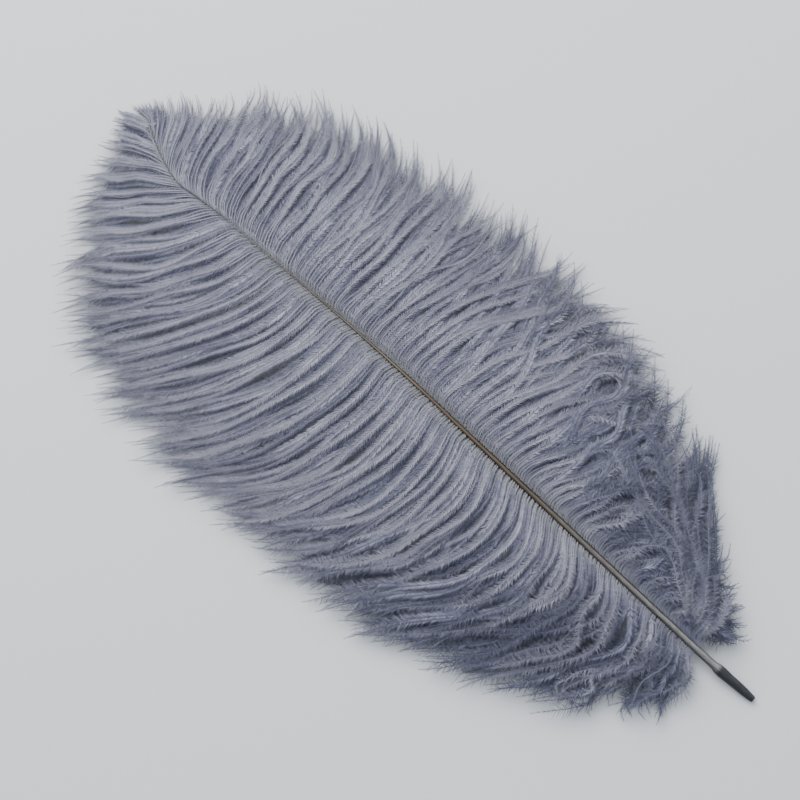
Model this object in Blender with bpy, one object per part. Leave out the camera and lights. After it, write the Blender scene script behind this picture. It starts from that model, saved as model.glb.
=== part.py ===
"""An ostrich plume lying on a table: one shaft and two vanes of soft locks, grown as one piece.

The feather lies along X with its quill tip towards -X and its wide vane towards +Y. Sizes are in metres,
and in millimetres in the tables. A station is a distance along the feather, counted from the quill tip.
"""
import bisect
import math
import random

import bmesh
import bpy

# Driving dimensions
MM = 0.001
QUILL_END = 0.025  # station where the dark quill passes into the paler shaft
FIRST_LOCK = 0.044  # station of the lowest barbs
SHAFT_END = 0.440  # station where the shaft runs out under the last barbs
SHAFT_TIP_HEIGHT = 0.0021  # the centre line's height where both ends of the shaft rest
ARCH = 0.028  # how far the middle of the shaft stands above its ends
ARCH_SPAN = 0.452
ARCH_SKEW = 1.1  # above 1 the highest point moves towards the tip
GROOVE = 0.30  # depth of the furrow along the shaft's underside, as a share of its radius
HOLE_DEPTH = 0.0012  # the small hole in the quill's tip
HOLE_RIM = 0.0006

LOCKS = 30  # locks of barbs in each vane
CREST_HEIGHT = 0.0010
VALLEY_DEPTH = 0.0006
LIFT = 0.004  # how far a lock rises beside the shaft before it droops
LIFT_SPREAD = 0.0012  # how much that differs between locks
LENGTH_SPREAD = 0.025  # how much their lengths differ, as a share
DROOP_START = 0.08  # share of a lock's length where it starts to droop
DROOP_END = 0.80  # share where it reaches the table
ROOT_THICKNESS = 0.0020
TIP_THICKNESS = 0.0011
GATHER = 0.45  # how far a lock's flanks draw in to its crest at the tip

# Radius of the shaft: station, radius
SHAFT_RADII = (
    (0, 1.7), (5, 2.3), (12, 2.6), (20, 2.65), (27, 2.2), (35, 2.05), (60, 1.95), (100, 1.85), (130, 1.7),
    (160, 1.5), (195, 1.25), (245, 1.0), (311, 0.65), (440, 0.4),
)
# How the shaft bends sideways: station, offset towards +Y
SHAFT_BEND = (
    (0, 1.8), (10, 2.1), (20, 2.55), (35, 2.85), (70, 3.2), (100, 3.25), (130, 3.2), (160, 3.05), (195, 2.8),
    (220, 2.35), (245, 1.95), (275, 1.95), (305, 2.3), (340, 3.0), (372, 3.3), (392, 4.8), (406, 5.6),
    (419, 1.3), (428, -2.9), (440, -9.8),
)
# Plan of each vane: station of a lock's root, station and offset of its tip, then its direction in degrees
# away from the shaft's own at the root and at the tip, each with the share of its length that it lasts
WIDE_VANE = (
    (44, 25, 37, 112, 0.32, 98, 0.34), (63, 58, 63, 116, 0.34, 84, 0.34), (84, 100, 92, 120, 0.34, 70, 0.34),
    (110, 139, 109, 120, 0.34, 63, 0.34), (137, 176, 121, 116, 0.33, 61, 0.34),
    (178, 218, 127, 105, 0.31, 62, 0.32), (223, 261, 123, 92, 0.29, 64, 0.30),
    (273, 323, 119, 82, 0.28, 64, 0.30), (322, 392, 90, 72, 0.28, 50, 0.30),
    (346, 412, 78, 69, 0.28, 44, 0.30), (368, 426, 66, 65, 0.29, 39, 0.30),
    (389, 437, 52, 59, 0.30, 36, 0.30), (407, 444, 36, 50, 0.30, 32, 0.30),
    (419, 448, 22, 40, 0.30, 26, 0.30), (430, 452, 10, 28, 0.30, 18, 0.30), (440, 455, 1, 14, 0.30, 8, 0.30),
)
NARROW_VANE = (
    (44, 20, 20, 98, 0.36, 112, 0.36), (63, 39, 35, 97, 0.37, 104, 0.36), (84, 59, 47, 97, 0.38, 95, 0.37),
    (105, 84, 67, 98, 0.38, 84, 0.37), (121, 108, 83, 99, 0.37, 76, 0.36), (137, 133, 90, 100, 0.35, 69, 0.35),
    (178, 184, 99, 102, 0.31, 58, 0.33), (223, 243, 96, 98, 0.28, 53, 0.32),
    (273, 293, 94, 90, 0.27, 50, 0.32), (322, 343, 84, 78, 0.27, 46, 0.32),
    (352, 376, 73, 68, 0.27, 43, 0.32), (376, 404, 56, 58, 0.28, 38, 0.32),
    (399, 424, 40, 47, 0.29, 34, 0.32), (419, 440, 27, 37, 0.30, 28, 0.32),
    (430, 447, 20, 28, 0.30, 20, 0.32), (440, 453, 12, 18, 0.30, 10, 0.32),
)

# Columns of the vanes' mesh, in order across a lock: share of the lock's length covered, height of ridge
VALLEY = (0.86, -VALLEY_DEPTH)
FLANK = (0.95, 0.0)
CREST = (1.0, CREST_HEIGHT)
PROFILE = (VALLEY, FLANK, CREST, FLANK)
ROWS = (0.0, 0.10, 0.24, 0.40, 0.56, 0.72, 0.88, 1.0)  # rows of the mesh, as shares of a column's length
SHAFT_SIDES = 12
SHAFT_RINGS = 38
CENTRE = (0.2263, 0.0133)  # plan point below the middle of the feather's box
SEED = 7


def through(points, column, x):
    """Value at x of a smooth curve through one column of a table of points."""
    places = [row[0] for row in points]
    last = len(points) - 1
    left = min(max(bisect.bisect_right(places, x) - 1, 0), last - 1)
    span = places[left + 1] - places[left]
    t = min(max((x - places[left]) / span, 0.0), 1.0)

    def slope(i):
        before, after = max(i - 1, 0), min(i + 1, last)
        return (points[after][column] - points[before][column]) / (places[after] - places[before])

    start, end = points[left][column], points[left + 1][column]
    leave, arrive = span * slope(left), span * slope(left + 1)
    rest = end - start
    return start + t * (leave + t * (3 * rest - 2 * leave - arrive + t * (leave + arrive - 2 * rest)))


def ease(t):
    """Runs smoothly from 0 to 1 as t does, and stays there."""
    t = min(max(t, 0.0), 1.0)
    return t * t * (3 - 2 * t)


def shaft_radius(station):
    return through(SHAFT_RADII, 1, station / MM) * MM


def shaft_height(station):
    """Height of the shaft's centre line above the table."""
    share = min(station / ARCH_SPAN, 1.0)
    return SHAFT_TIP_HEIGHT + ARCH * math.sin(math.pi * share**ARCH_SKEW)


def shaft_offset(station):
    return through(SHAFT_BEND, 1, station / MM) * MM


def shaft_heading(station):
    """Direction of the shaft in plan, in radians from +X."""
    step = 0.002
    return math.atan2(shaft_offset(station + step) - shaft_offset(station - step), 2 * step)


def lock_plan(side, root, reach):
    """Plan point on the lock that grows at root, where reach is the share of its length from the shaft."""
    vane = WIDE_VANE if side > 0 else NARROW_VANE
    tip, offset, leave, near, arrive, far = (through(vane, column, root / MM) for column in range(1, 7))
    start = (root, shaft_offset(root))
    end = (tip * MM, side * offset * MM)
    length = math.dist(start, end)
    leave = shaft_heading(root) + side * math.radians(leave)
    arrive = side * math.radians(arrive)
    near, far = near * length, far * length
    first = (start[0] + near * math.cos(leave), start[1] + near * math.sin(leave))
    second = (end[0] - far * math.cos(arrive), end[1] - far * math.sin(arrive))
    away = 1 - reach
    weights = (away**3, 3 * away**2 * reach, 3 * away * reach**2, reach**3)
    corners = (start, first, second, end)
    return [sum(w * corner[axis] for w, corner in zip(weights, corners)) for axis in (0, 1)]


def lock_height(root, reach, lift):
    """Height of a lock's middle surface: it rises beside the shaft, then droops to the table."""
    crown = shaft_height(root)
    droop = ease((reach - DROOP_START) / (DROOP_END - DROOP_START))
    rise = lift * min(crown / ARCH, 1.0) * math.sin(math.pi * min(reach / DROOP_END, 1.0) ** 0.7)
    return TIP_THICKNESS + (crown - TIP_THICKNESS) * (1 - droop) + rise


def vane_point(column, row, below, lifts, stretches):
    """Place of one vertex of the vanes: columns count along the shaft, rows from one edge to the other."""
    lock, place = divmod(column, len(PROFILE))
    cover, ridge = PROFILE[place]
    side = -1 if row < 0 else 1
    share = ROWS[abs(row)]
    pitch = (SHAFT_END - FIRST_LOCK) / LOCKS
    root = FIRST_LOCK + pitch * column / len(PROFILE)
    if PROFILE[place] is FLANK:
        crest = FIRST_LOCK + pitch * (lock + 0.5)
        root += (crest - root) * GATHER * ease(2 * share - 1)
    reach = share * cover
    x, y = lock_plan(side, root, reach * (1 + LENGTH_SPREAD * stretches[side][lock]))
    lift = LIFT + LIFT_SPREAD * lifts[side][lock]
    top = lock_height(root, reach, lift) + ridge * ease(reach / 0.3) * (1 - 0.5 * reach)
    thickness = ROOT_THICKNESS + (TIP_THICKNESS - ROOT_THICKNESS) * ease(reach)
    return x, y, max(top - thickness, 0.0) if below else top


def add_vanes(mesh):
    """Both vanes as one sheet through the middle of the shaft: a flat slab of cells, bent into place."""
    chance = random.Random(SEED)
    lifts = {side: [chance.uniform(-1, 1) for _ in range(LOCKS + 1)] for side in (-1, 1)}
    stretches = {side: [chance.uniform(-1, 1) for _ in range(LOCKS + 1)] for side in (-1, 1)}
    columns, rows = LOCKS * len(PROFILE), 2 * (len(ROWS) - 1)
    bmesh.ops.create_grid(mesh, x_segments=columns, y_segments=rows, size=0.5)
    made = bmesh.ops.extrude_face_region(mesh, geom=mesh.faces[:], use_keep_orig=True)
    under = [item for item in made["geom"] if isinstance(item, bmesh.types.BMVert)]
    bmesh.ops.translate(mesh, verts=under, vec=(0, 0, -1))
    for vert in mesh.verts:
        column = round((vert.co.x + 0.5) * columns)
        row = round(vert.co.y * rows)
        vert.co = vane_point(column, row, vert.co.z < 0, lifts, stretches)


def add_shaft(mesh):
    """Quill and shaft: a long cylinder in rings, bent and tapered, with a furrow below and a hole at the tip."""
    bmesh.ops.create_cone(mesh, cap_ends=True, segments=SHAFT_SIDES, radius1=1, radius2=1, depth=1)
    long_edges = [e for e in mesh.edges if abs(e.verts[0].co.z - e.verts[1].co.z) > 0.5]
    bmesh.ops.subdivide_edges(mesh, edges=long_edges, cuts=SHAFT_RINGS - 2)
    for vert in mesh.verts:
        station = (vert.co.z + 0.5) * SHAFT_END
        lowest = vert.co.y < -0.99 and station > QUILL_END
        across, up = vert.co.x, vert.co.y * (1 - GROOVE * lowest)
        radius, heading = shaft_radius(station), shaft_heading(station)
        vert.co = (
            station - radius * across * math.sin(heading),
            shaft_offset(station) + radius * across * math.cos(heading),
            shaft_height(station) + radius * up,
        )
    tip = min(mesh.faces, key=lambda face: face.calc_center_median().x)
    bmesh.ops.inset_region(mesh, faces=[tip], thickness=HOLE_RIM)
    bmesh.ops.translate(mesh, verts=tip.verts[:], vec=(HOLE_DEPTH, 0, 0))


def make_solid(name, build):
    """A new object from a function that fills a bmesh, with its faces pointing out."""
    mesh = bmesh.new()
    build(mesh)
    bmesh.ops.triangulate(mesh, faces=mesh.faces[:])
    bmesh.ops.recalc_face_normals(mesh, faces=mesh.faces[:])
    data = bpy.data.meshes.new(name)
    mesh.to_mesh(data)
    mesh.free()
    made = bpy.data.objects.new(name, data)
    made.location = (-CENTRE[0], -CENTRE[1], 0)
    bpy.context.collection.objects.link(made)
    return made


def grow_together(target, other):
    """Joins other into target as one solid, and keeps it as a guide."""
    modifier = target.modifiers.new("Grown together", "BOOLEAN")
    modifier.operation = "UNION"
    modifier.solver = "EXACT"
    modifier.object = other
    other.display_type = "WIRE"
    other.hide_render = True


def plume_material():
    material = bpy.data.materials.new("grey-blue plume")
    material.use_nodes = True
    surface = material.node_tree.nodes["Principled BSDF"]
    surface.inputs["Base Color"].default_value = (0.20, 0.21, 0.26, 1)
    surface.inputs["Roughness"].default_value = 0.7
    surface.inputs["Metallic"].default_value = 0.0
    return material


def main():
    for old in list(bpy.data.objects):
        bpy.data.objects.remove(old, do_unlink=True)
    feather = make_solid("feather", add_vanes)
    shaft = make_solid("shaft", add_shaft)
    grow_together(feather, shaft)
    feather.data.materials.append(plume_material())


main()
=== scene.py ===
import math
from typing import NamedTuple

import bpy
import numpy as np
from bpy.props import FloatProperty, FloatVectorProperty, IntProperty, PointerProperty
from bpy.types import Operator, Panel, PropertyGroup
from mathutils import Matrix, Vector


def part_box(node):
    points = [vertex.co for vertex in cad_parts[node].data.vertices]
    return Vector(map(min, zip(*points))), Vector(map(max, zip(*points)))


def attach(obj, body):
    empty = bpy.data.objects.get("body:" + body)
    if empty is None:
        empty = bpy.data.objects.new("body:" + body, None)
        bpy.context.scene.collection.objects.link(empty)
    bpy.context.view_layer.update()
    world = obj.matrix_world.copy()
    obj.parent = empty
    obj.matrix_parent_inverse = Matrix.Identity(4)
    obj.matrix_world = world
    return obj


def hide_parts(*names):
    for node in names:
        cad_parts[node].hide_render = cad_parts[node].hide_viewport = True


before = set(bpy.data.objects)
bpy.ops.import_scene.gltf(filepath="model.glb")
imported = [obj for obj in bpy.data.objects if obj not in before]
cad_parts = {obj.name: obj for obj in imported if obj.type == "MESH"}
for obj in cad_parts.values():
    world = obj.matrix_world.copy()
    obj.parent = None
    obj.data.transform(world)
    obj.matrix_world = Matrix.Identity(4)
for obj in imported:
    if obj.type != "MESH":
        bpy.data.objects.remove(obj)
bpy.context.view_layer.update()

bl_info = {
    "name": "Ostrich plume",
    "version": (1, 0, 0),
    "blender": (4, 5, 0),
    "location": "View3D > Sidebar > Plume",
    "description": "Models a dyed ostrich plume lying on a table, barb by barb",
    "category": "Add Mesh",
}

MM = 0.001

# Plan of the feather, in metres. A station is a distance from the quill's tip, along the feather.
QUILL_TIP_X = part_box("feather")[0][0]
SHAFT_LINE_Y = -0.0133  # where the straight part of the shaft lies, in the frame
FIRST_BARB, SHAFT_END = 0.044, 0.440
FIRST_LOWER_BARB, LAST_LOWER_BARB = 0.047, 0.437
LAST_DOWN = 0.059  # the last root of the long down
SHAFT_TIP_HEIGHT = 0.0021
ARCH, ARCH_SPAN = 0.028, 0.452
ARCH_SKEW = 1.1  # above 1, the highest place of the arch lies nearer to the feather's tip
TIP_HEIGHT = 0.0028  # of the vanes' outer ends
VANE_ROOT = 0.4  # how many of its radii above the shaft's centre line the vanes leave it
NARROWEST = 0.004  # least width of a vane, beyond the shaft's end
LIFT = 0.004  # how far a vane bulges up between the shaft and the table
BULGE_SKEW = 0.7  # below 1, the bulge lies nearer to the shaft
DROOP_START, DROOP_END = 0.08, 0.80  # shares of a vane's width between which it comes down
ROOT_DEPTH = 0.95  # share of the shaft's radius at which barbs begin, inside its skin
HOOK = 0.0036  # how far towards the quill the barbs' roots are set back
HOOK_REACH = 0.0030
HOOK_FADE = 0.05  # length over which the hooks grow smaller up to the shaft's end
WIDE, NARROW = 1, -1  # the sides of the shaft, towards +Y and -Y

# Tables in millimetres, degrees and shares, each row starting with a station
SHAFT_RADII = (
    (0, 1.55), (0.5, 1.75), (1.6, 1.9), (3.5, 2.1), (7, 2.4), (13, 2.6), (19, 2.65), (24, 2.45),
    (29, 2.1), (60, 1.95), (100, 1.85), (130, 1.7), (160, 1.5), (195, 1.25), (245, 0.85),
    (305, 0.5), (370, 0.32), (440, 0.22),
)
SHAFT_BEND = (
    (0, 1.8), (10, 2.1), (20, 2.55), (35, 2.85), (70, 3.2), (100, 3.25), (130, 3.2), (160, 3.05),
    (195, 2.8), (220, 2.35), (245, 1.95), (275, 1.95), (305, 2.3), (340, 3.0), (372, 3.3),
    (392, 4.8), (406, 5.6), (419, 1.3), (428, -2.9), (440, -9.8),
)
# Plans of barbs: station of the root, station and offset of the tip, then the direction away from
# the shaft's own at the root and at the tip, each with the share of the barb's length it lasts
WIDE_VANE = (
    (44, 24, 40, 130, 0.36, 118, 0.36), (63, 54, 63, 140, 0.4, 102, 0.36),
    (84, 96, 90, 145, 0.44, 82, 0.38), (110, 138, 108, 147, 0.44, 60, 0.38),
    (137, 176, 118, 145, 0.43, 50, 0.38), (178, 218, 121, 134, 0.39, 46, 0.36),
    (223, 261, 121, 116, 0.36, 46, 0.34), (273, 321, 123, 103, 0.32, 52, 0.32),
    (322, 380, 113, 102, 0.31, 61, 0.31), (346, 403, 98, 96, 0.31, 60, 0.31),
    (368, 422, 78, 82, 0.31, 58, 0.31), (389, 437, 56, 60, 0.31, 58, 0.31),
    (407, 444, 36, 44, 0.31, 56, 0.31), (419, 449, 17, 34, 0.31, 46, 0.31),
    (430, 453, 4, 26, 0.3, 34, 0.3), (440, 456, -5, 8, 0.3, 4, 0.3),
)
NARROW_OUTER = (
    (322, 343, 91, 88, 0.27, 46, 0.32), (352, 376, 82, 70, 0.27, 43, 0.32),
    (376, 403, 65, 60, 0.28, 38, 0.32), (399, 424, 43, 50, 0.29, 34, 0.32),
    (419, 440, 27, 40, 0.3, 28, 0.32), (430, 447, 18, 30, 0.3, 20, 0.32),
    (440, 453, 8, 18, 0.3, 10, 0.32),
)
NARROW_VANE = (
    (44, 20, 18, 98, 0.36, 112, 0.36), (63, 39, 33, 97, 0.37, 104, 0.36),
    (84, 59, 45, 97, 0.38, 95, 0.37), (105, 84, 68, 98, 0.38, 84, 0.37),
    (121, 108, 88, 99, 0.37, 76, 0.36), (137, 133, 97, 100, 0.35, 69, 0.35),
    (178, 184, 101, 102, 0.31, 58, 0.33), (223, 243, 106, 98, 0.28, 53, 0.32),
    (273, 293, 101, 96, 0.27, 50, 0.32),
) + NARROW_OUTER
# The upper barbs of the lower half, which are swept back towards the quill
NARROW_SWEPT = (
    (44, 24, 16, 98, 0.36, 120, 0.36), (63, 42, 22, 96, 0.38, 145, 0.3),
    (84, 62, 28, 98, 0.38, 155, 0.3), (121, 88, 42, 102, 0.38, 154, 0.3),
    (153, 108, 61, 106, 0.37, 150, 0.3), (190, 140, 90, 101, 0.34, 143, 0.3),
    (225, 180, 101, 91, 0.32, 130, 0.3), (243, 209, 105, 86, 0.31, 114, 0.3),
    (258, 237, 110, 86, 0.3, 96, 0.3), (272, 266, 104, 90, 0.28, 78, 0.3),
    (290, 296, 100, 96, 0.27, 62, 0.31),
) + NARROW_OUTER
# Long down from the lowest stretch, which fans out over the others
NARROW_DOWN = (
    (44, 33, 26, 104, 0.35, 124, 0.35), (46.5, 58, 46, 106, 0.24, 84, 0.5),
    (49, 88, 69, 108, 0.2, 61, 0.55), (51.5, 119, 87, 109, 0.17, 49, 0.55),
    (54, 143, 78, 110, 0.17, 36, 0.55), (56.5, 149, 55, 111, 0.17, 24, 0.55),
    (59, 140, 35, 112, 0.2, 12, 0.55),
)


class Sheaf(NamedTuple):
    """Barbs that grow from one stretch of the shaft, to one side and at one depth."""
    pieces: tuple  # names, from the quill out
    side: int
    plan: tuple
    first: float  # stations of the first and the last root
    last: float
    share: float = 1.0  # number of barbs, as a share of those in an upper layer
    depth: float = 0.0  # how far it lies below the upper layer, or above where negative
    sway: float = 0.0022
    fluff: float = 0.0  # how downy it is even where the vanes aren't
    spacing: float = 1.0  # of the barbules, against the upper layer's
    # shade: painted shade, how much darker the barbs are painted where an upper layer covers them
    shade: float = 0.0  # how much darker it is where the upper layer covers it
    give: float = 1.0  # how far barbs stray from the plan, as a share of the others
    gather: float = 1.0  # how far they draw together, likewise

    @property
    def lower(self):
        """Whether an upper layer covers it."""
        return self.shade > 0


SHEAVES = (
    Sheaf(("wide_vane_base", "wide_vane_middle", "wide_vane_tip"),
          WIDE, WIDE_VANE, FIRST_BARB, SHAFT_END),
    # Lower barbs, painted darker with shade where the upper layer covers them
    Sheaf(("wide_underlayer",), WIDE, WIDE_VANE, FIRST_LOWER_BARB, LAST_LOWER_BARB, share=0.62,
          depth=0.0012, sway=0.0015, spacing=1.8, shade=0.35, gather=0.0),
    Sheaf(("narrow_vane_base", "narrow_vane_tip"), NARROW, NARROW_SWEPT, FIRST_BARB, SHAFT_END),
    # Lower barbs, painted darker with shade where the upper layer covers them
    Sheaf(("narrow_underlayer",), NARROW, NARROW_VANE, FIRST_LOWER_BARB, LAST_LOWER_BARB,
          share=0.86, depth=0.0014, sway=0.0015, spacing=1.7, shade=0.35, gather=0.0),
    Sheaf(("narrow_down",), NARROW, NARROW_DOWN, FIRST_BARB, LAST_DOWN, share=0.24,
          depth=-0.0025, sway=0.002, fluff=1.0, spacing=0.85, give=0.25),
)


Rows = np.ndarray  # one row for each barb, spot or fibre


class Barbs(NamedTuple):
    """The barbs of a sheaf."""
    paths: Rows  # points from the shaft out
    root: Rows  # station
    within: Rows  # place in a ridge, from -1 at the quill's side to 1
    crest: Rows  # 1 on the crest of a ridge and 0 at its foot, at each point of the path
    ridge: Rows  # number of the ridge
    tuft: Rows  # number of the tuft
    fluff: Rows  # how downy it is, at each point of the path
    stray: Rows  # whether it lies across the others
    phase: Rows  # of its bunches of barbules, in turns


class Spots(NamedTuple):
    """Places on barbs where a pair of barbules grows."""
    point: Rows
    along: Rows  # directions
    across: Rows
    above: Rows
    owner: Rows  # number of the barb
    length: Rows  # of the barb
    share: Rows  # of that length, from the shaft to here
    distance: Rows  # from the shaft, along the barb
    remaining: Rows  # from here to the barb's end
    root: Rows  # the barb's station
    within: Rows
    stray: Rows
    crest: Rows
    phase: Rows  # of the bunches, in radians
    covered: Rows  # 1 where an upper layer hides them
    fluff: Rows
    hazy: Rows  # how loosely they stand


class Fibres(NamedTuple):
    """Small meshes of one shape that grow on barbs, with a column for each vertex."""
    places: Rows
    faces: Rows  # triangles of the shape
    owner: Rows  # number of the barb
    along: Rows  # share of the barb's length, for the UV map
    sideways: Rows  # place in the barb's strip of the map, from -0.5 to 0.5
    outward: Rows  # how far out on the barbule
    # tone holds painted light and shade on top of the barbs' own random tone
    tone: Rows  # how light, where 1 is a crest in full light
    comb: Rows  # how far it is the pale colour of the barbs beside the shaft


ATTRIBUTES = ("outward", "tone", "comb")  # the fields of Fibres that the material reads


# Curves shared by all pieces

def through(points, column, x):
    """Values at x of a smooth curve through one column of a table of points."""
    places, values = np.array(points, float)[:, (0, column)].T
    slopes = np.empty(len(places))
    slopes[1:-1] = (values[2:] - values[:-2]) / (places[2:] - places[:-2])
    slopes[0] = (values[1] - values[0]) / (places[1] - places[0])
    slopes[-1] = (values[-1] - values[-2]) / (places[-1] - places[-2])
    x = np.asarray(x, float)
    left = np.clip(np.searchsorted(places, x, side="right") - 1, 0, len(places) - 2)
    span = places[left + 1] - places[left]
    t = np.clip((x - places[left]) / span, 0, 1)
    leave, arrive = span * slopes[left], span * slopes[left + 1]
    rest = values[left + 1] - values[left]
    square, cube = 3 * rest - 2 * leave - arrive, leave + arrive - 2 * rest
    return values[left] + t * (leave + t * (square + t * cube))


def ease(t):
    """Runs smoothly from 0 to 1 as t does, and stays there."""
    t = np.clip(t, 0, 1)
    return t * t * (3 - 2 * t)


def bell(t):
    """Is 1 where t is 0 and falls off on both sides."""
    return np.exp(-(t**2))


def shaft_radius(station):
    return through(SHAFT_RADII, 1, station / MM) * MM


def shaft_height(station):
    """Height of the shaft's centre line above the table."""
    share = np.clip(station / ARCH_SPAN, 0, 1)
    return SHAFT_TIP_HEIGHT + ARCH * np.sin(math.pi * share**ARCH_SKEW)


def shaft_offset(station):
    return through(SHAFT_BEND, 1, station / MM) * MM


def shaft_heading(station):
    """Direction of the shaft in plan, in radians from +X."""
    step = 0.002
    return np.arctan2(shaft_offset(station + step) - shaft_offset(station - step), 2 * step)


def barb_plan(table, side, root, reach):
    """Plan points on the barbs that grow at root, where reach is the share of their length."""
    columns = (through(table, column, root / MM) for column in range(1, 7))
    tip, offset, leave, near, arrive, far = columns
    start = np.stack((root, shaft_offset(root) + side * ROOT_DEPTH * shaft_radius(root)))
    end = np.stack((tip * MM, side * offset * MM))
    length = np.hypot(*(end - start))
    leave = shaft_heading(root) + side * np.radians(leave)
    arrive = side * np.radians(arrive)
    first = start + near * length * np.stack((np.cos(leave), np.sin(leave)))
    second = end - far * length * np.stack((np.cos(arrive), np.sin(arrive)))
    away = 1 - reach
    line = away**3 * start + 3 * away**2 * reach * first
    line = line + 3 * away * reach**2 * second + reach**3 * end
    hook = HOOK * np.exp(-reach * length / HOOK_REACH)
    line[0] -= hook * ease((SHAFT_END - root) / HOOK_FADE)
    return line


def vane_width(side, station):
    """How far the tips of the barbs reach from the shaft beside a station."""
    tips = np.array(WIDE_VANE if side == WIDE else NARROW_VANE, float)[:, 1:3] * MM
    return np.maximum(np.interp(station, tips[:, 0], tips[:, 1]), NARROWEST)


def vane_height(side, station, offset, lift):
    """Height of a vane's middle surface: it rises beside the shaft, then droops to the table."""
    on_shaft = np.clip(station, 0, SHAFT_END)
    crown = shaft_height(on_shaft) + VANE_ROOT * shaft_radius(on_shaft)
    share = offset / vane_width(side, station)
    droop = ease((share - DROOP_START) / (DROOP_END - DROOP_START))
    bulge = np.sin(math.pi * np.clip(share / DROOP_END, 0, 1) ** BULGE_SKEW)
    rise = lift * np.minimum(crown / ARCH, 1.0) * bulge
    return TIP_HEIGHT + (crown - TIP_HEIGHT) * (1 - droop) + rise


# Mesh tools

def deselect_everything():
    if bpy.context.object and bpy.context.object.mode != "OBJECT":
        bpy.ops.object.mode_set(mode="OBJECT")
    bpy.ops.object.select_all(action="DESELECT")


def add_ringed_cylinder(sides, rings):
    """Adds a closed cylinder of radius and length 1 along Z, its long edges cut into rings."""
    deselect_everything()
    bpy.ops.mesh.primitive_cylinder_add(vertices=sides, radius=1, depth=1, end_fill_type="NGON")
    made = bpy.context.object
    bpy.ops.object.mode_set(mode="EDIT")
    bpy.ops.mesh.select_mode(type="EDGE")
    bpy.ops.mesh.select_all(action="DESELECT")
    bpy.ops.object.mode_set(mode="OBJECT")
    for edge in made.data.edges:
        low, high = (made.data.vertices[i].co.z for i in edge.vertices)
        edge.select = abs(low - high) > 0.5
    bpy.ops.object.mode_set(mode="EDIT")
    bpy.ops.mesh.subdivide(number_cuts=rings - 2)
    bpy.ops.object.mode_set(mode="OBJECT")
    return made


def take_template(made):
    """Vertices and triangles of an object as arrays, which is then deleted."""
    mesh = made.data
    mesh.calc_loop_triangles()
    places = np.array([vert.co[:] for vert in mesh.vertices])
    faces = np.array([tuple(tri.vertices) for tri in mesh.loop_triangles])
    bpy.data.objects.remove(made, do_unlink=True)
    return places, faces


def stem_template():
    """A barb's own thin stem: a three-sided rod in rings, one long, closed at both ends."""
    places, faces = take_template(add_ringed_cylinder(3, STEM_RINGS))
    places[:, 2] += 0.5
    return places, faces


def barbule_template():
    """A barbule: a thin three-sided spike along +Y, one long, with a hump, and one wide along X."""
    deselect_everything()
    bpy.ops.mesh.primitive_cone_add(vertices=3, depth=1, end_fill_type="NGON")
    places, faces = take_template(bpy.context.object)
    tip = int(np.argmax(places[:, 2]))
    left, right, hump = sorted({0, 1, 2, 3} - {tip}, key=lambda i: places[i, 1])
    shaped = np.zeros((4, 3))
    shaped[left], shaped[right] = (-0.5, 0, 0), (0.5, 0, 0)
    shaped[hump] = (0.1, 0.45, 1)
    shaped[tip] = (0, 1, 0)
    a, b, c = (shaped[faces[:, k]] for k in range(3))
    inward = np.einsum("ij,ij->i", np.cross(b - a, c - a), a - shaped.mean(0)) < 0
    faces[inward] = faces[inward][:, ::-1]
    return shaped, faces


def add_attribute(mesh, name, values):
    """Gives each vertex of a mesh one number."""
    layer = mesh.attributes.new(name, "FLOAT", "POINT")
    layer.data.foreach_set("value", values.astype(np.float32))


def mesh_piece(name, places, triangles, attributes, uvs, material):
    """A new object from arrays of vertices, triangles, one number a vertex each, and a UV map."""
    mesh = bpy.data.meshes.new(name)
    mesh.vertices.add(len(places))
    mesh.vertices.foreach_set("co", places.astype(np.float32).ravel())
    mesh.loops.add(triangles.size)
    mesh.loops.foreach_set("vertex_index", triangles.astype(np.int32).ravel())
    mesh.polygons.add(len(triangles))
    mesh.polygons.foreach_set("loop_start", np.arange(0, triangles.size, 3, dtype=np.int32))
    mesh.update(calc_edges=True)
    for label, values in attributes.items():
        add_attribute(mesh, label, values)
    layer = mesh.uv_layers.new(name="OFBake")
    layer.uv.foreach_set("vector", uvs[triangles.ravel()].astype(np.float32).ravel())
    mesh.materials.append(material)
    piece = bpy.data.objects.new(name, mesh)
    bpy.context.collection.objects.link(piece)
    return piece


def finish_piece(piece):
    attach(piece, "root")
    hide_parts("feather")


# Shaft

SHAFT_SIDES = 32
SHAFT_RINGS = 220
# Rings of the shaft's mesh, closest at the quill's tip and at its torn sheath: number, station
SHAFT_SPACING = ((0, 0), (14, 3), (30, 21), (58, 30), (90, 70), (219, 440))
BARE_START, BARE_RISE = 0.028, 0.02  # where the quill's skin gives way to the grooved shaft
BARE_FADE = 0.06  # length over which the grooves end at the feather's tip
# Grooves and the raised lines under the barbs: depth as a share of the radius, and width
FURROW_DEPTH, FURROW_WIDTH = 0.34, 0.34
LINE_HEIGHT, LINE_WIDTH = 0.10, 0.05
CREASE_DEPTH, CREASE_WIDTH, CREASE_TURN = 0.07, 0.10, 0.95
SHEATH_START, SHEATH_RISE, SHEATH_END = 0.016, 0.006, 0.0248
SHEATH_THICKNESS, SHEATH_EDGE = 0.00038, 0.0004
SHEATH_TEARS = ((0.0009, 3, 0.4), (0.0006, 7, 2), (0.0003, 13, 0))  # height, waves, start
FOLD_HEIGHT, FOLDS, FOLD_TWIST = 0.00005, 9, 160  # of the quill's skin
FOLD_START, FOLD_RISE = 0.004, 0.008
# The hollow end of the quill, in steps: how far the wall reaches in, and how deep it goes
HOLLOW_STEPS = ((0.00035, 0.0003), (0.00025, 0.0016))
SMOOTH_UNDER = math.radians(35)


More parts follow.
